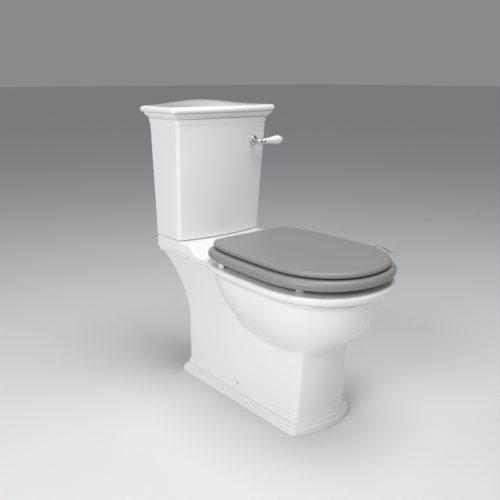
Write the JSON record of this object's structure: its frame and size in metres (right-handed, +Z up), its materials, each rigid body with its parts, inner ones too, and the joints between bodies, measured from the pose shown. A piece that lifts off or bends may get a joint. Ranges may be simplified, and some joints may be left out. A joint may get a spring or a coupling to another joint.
{
  "type": "close coupled toilet",
  "caption": "Floor-standing close coupled toilet with a moulded pedestal, oval bowl, tapering cistern, hinged seat ring and lid, and a side lever on the front.",
  "frame": {"origin": "on the floor, on the centreline, at the centre of the foot", "axes": "+Z up, the front faces -Y, +X is to the right of someone looking at the front"},
  "size_m": [0.3941, 0.7306, 0.822],
  "materials": {
    "ceramic": "glossy white glaze",
    "handle_ceramic": "glossy white glaze",
    "seat_paint": "satin warm grey",
    "chrome": "polished",
    "steel": "plain",
    "brass": "plain",
    "white_plastic": "moulded",
    "grey_plastic": "moulded",
    "float_plastic": "moulded",
    "buffer": "soft white",
    "black_rubber": "matt"
  },
  "bodies": {
    "pan_and_cistern": {"pan": "ceramic", "cistern": "ceramic", "coupling_gasket": "black_rubber", "coupling_bolts": "steel", "coupling_washers": "black_rubber", "coupling_wing_nuts": "brass", "hinge_posts": "chrome", "hinge_pins": "chrome", "hinge_studs": "steel", "hinge_washers": "black_rubber", "hinge_wing_nuts": "white_plastic", "lever_escutcheon": "chrome", "lever_backnut": "white_plastic", "flush_valve_body": "white_plastic", "flush_valve_backnut": "white_plastic", "fill_valve_tail": "white_plastic", "fill_valve_washer": "black_rubber", "fill_valve_backnut": "white_plastic", "fill_valve_riser": "white_plastic", "fill_valve_head": "grey_plastic", "float_stop": "grey_plastic", "floor_brackets": "grey_plastic"},
    "ring": {"seat_ring": "seat_paint", "ring_hinge_leaves": "chrome", "ring_leaf_screws": "steel", "ring_buffers": "buffer"},
    "lid": {"seat_lid": "seat_paint", "lid_hinge_leaves": "chrome", "lid_leaf_screws": "steel", "lid_buffers": "buffer", "lift_handle": "chrome", "handle_screws": "steel"},
    "lever": {"lever_spindle": "brass", "lever_hub": "chrome", "lever_collar": "chrome", "lever_handle": "handle_ceramic", "lever_arm": "brass"},
    "plunger": {"flush_plunger": "grey_plastic", "plunger_seal": "black_rubber", "lift_link": "grey_plastic"},
    "float": {"fill_float": "float_plastic", "float_rod": "grey_plastic"},
    "cover": {"cistern_lid": "ceramic"}
  },
  "joints": [
    {"name": "seat_ring_hinge", "type": "hinge", "parent": "pan_and_cistern", "child": "ring", "pos_m": [0, 0.088, 0.446], "axis": [-1, 0, 0], "range_deg": [0, 92]},
    {"name": "seat_lid_hinge", "type": "hinge", "parent": "ring", "child": "lid", "pos_m": [0, 0.088, 0.446], "axis": [1, 0, 0], "range_deg": [-93, 0]},
    {"name": "flush_lever", "type": "hinge", "parent": "pan_and_cistern", "child": "lever", "pos_m": [0.101, 0.17339, 0.706], "axis": [-0.1654, 0.9833, 0.0762], "range_deg": [0, 28], "stiffness_Nm_per_rad": 0.5, "springref_deg": -34.38},
    {"name": "flush_lift", "type": "slide", "parent": "pan_and_cistern", "child": "plunger", "axis": [0, 0, 1], "range_m": [0, 0.04]},
    {"name": "float_travel", "type": "slide", "parent": "pan_and_cistern", "child": "float", "axis": [0, 0, 1], "range_m": [0, 0.095]},
    {"name": "cistern_lid_lift", "type": "slide", "parent": "pan_and_cistern", "child": "cover", "axis": [0, 0, 1], "range_m": [0, 0.12]}
  ],
  "couplings": [
    {"joint": "flush_lift", "follows": "flush_lever", "m_per_rad": 0.074}
  ]
}
